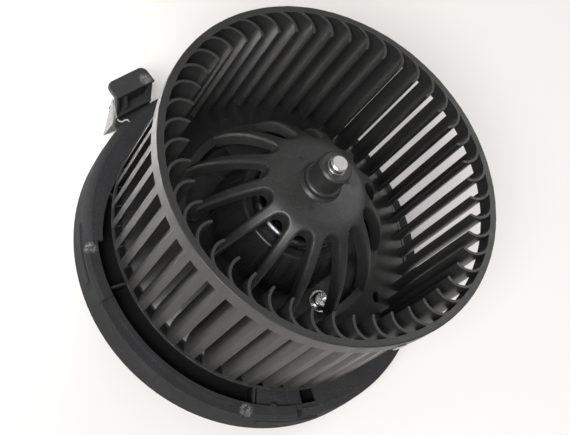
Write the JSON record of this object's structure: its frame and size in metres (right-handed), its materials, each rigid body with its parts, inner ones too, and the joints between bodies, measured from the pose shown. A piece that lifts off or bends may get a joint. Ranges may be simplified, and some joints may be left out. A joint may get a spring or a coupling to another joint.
{
  "type": "blower motor wheel",
  "caption": "Forward-curved blower wheel on a small DC motor, held in a bayonet mounting flange with a thumb latch, for a ventilation or heater housing.",
  "frame": {"origin": "on the shaft axis, in the plane of the mounting flange's bottom edge", "axes": "+Z along the shaft, out of the wheel's intake; the thumb latch stands on the -X side"},
  "size_m": [0.1843, 0.1692, 0.099],
  "materials": {
    "wheel_plastic": "fine moulded satin",
    "flange_plastic": "moulded satin",
    "latch_plastic": "moulded satin",
    "cup_plastic": "moulded satin",
    "cover_plastic": "moulded matt",
    "connector_plastic": "moulded matt",
    "card_plastic": "phenolic sheet",
    "shaft_steel": "ground",
    "clip_steel": "spring steel",
    "can_steel": "zinc plated, deep drawn",
    "screw_steel": "bright zinc",
    "bearing_bronze": "sintered, oiled",
    "magnet_ferrite": "matt ferrite",
    "core_steel": "laminated",
    "insulator_plastic": "epoxy film",
    "winding_copper": "enamelled copper",
    "commutator_copper": "turned copper",
    "brush_carbon": "sintered carbon and copper",
    "holder_brass": "pressed",
    "terminal_tin": "tinned",
    "mount_rubber": "moulded",
    "capacitor_resin": "dipped resin",
    "ferrite_coil": "enamelled wire on ferrite"
  },
  "bodies": {
    "mount": {"motor_can": "can_steel", "end_cover": "cover_plastic", "top_bearing": "bearing_bronze", "bottom_bearing": "bearing_bronze", "top_bearing_cap": "clip_steel", "bottom_bearing_cap": "clip_steel", "thrust_pad": "cover_plastic", "magnets": "magnet_ferrite", "magnet_clips": "clip_steel", "brush_card": "card_plastic", "brush_holder_right": "holder_brass", "brush_holder_left": "holder_brass", "brush_spring_right": "clip_steel", "brush_spring_left": "clip_steel", "chokes": "ferrite_coil", "suppression_capacitor": "capacitor_resin", "terminals": "terminal_tin", "connector_shroud": "connector_plastic", "motor_cup": "cup_plastic", "rubber_mounts": "mount_rubber", "mount_washers": "screw_steel", "mount_screws": "screw_steel", "snap_peg": "cover_plastic", "mounting_flange": "flange_plastic"},
    "rotor": {"impeller": "wheel_plastic", "shaft": "shaft_steel", "balance_clips": "clip_steel", "armature_core": "core_steel", "core_insulators": "insulator_plastic", "windings": "winding_copper", "commutator_core": "card_plastic", "commutator_bars": "commutator_copper", "thrust_washers": "insulator_plastic"},
    "latch": {"latch": "latch_plastic"},
    "brush_right": {"brush_right": "brush_carbon"},
    "brush_left": {"brush_left": "brush_carbon"}
  },
  "joints": [
    {"name": "rotor_spin", "type": "hinge", "parent": "mount", "child": "rotor", "pos_m": [0, 0, 0.05], "axis": [0, 0, 1], "continuous": true},
    {"name": "latch_press", "type": "hinge", "parent": "mount", "child": "latch", "pos_m": [-0.08674, 0.0021, 0.0112], "axis": [0.1564, 0.9877, 0], "range_deg": [0, 5], "stiffness_Nm_per_rad": 6},
    {"name": "brush_right_slide", "type": "slide", "parent": "mount", "child": "brush_right", "axis": [1, 0, 0], "range_m": [0, 0.003], "stiffness_N_per_m": 60, "springref_m": -0.004, "deforming": ["brush_spring_right"]},
    {"name": "brush_left_slide", "type": "slide", "parent": "mount", "child": "brush_left", "axis": [-1, 0, 0], "range_m": [0, 0.003], "stiffness_N_per_m": 60, "springref_m": -0.004, "deforming": ["brush_spring_left"]}
  ]
}
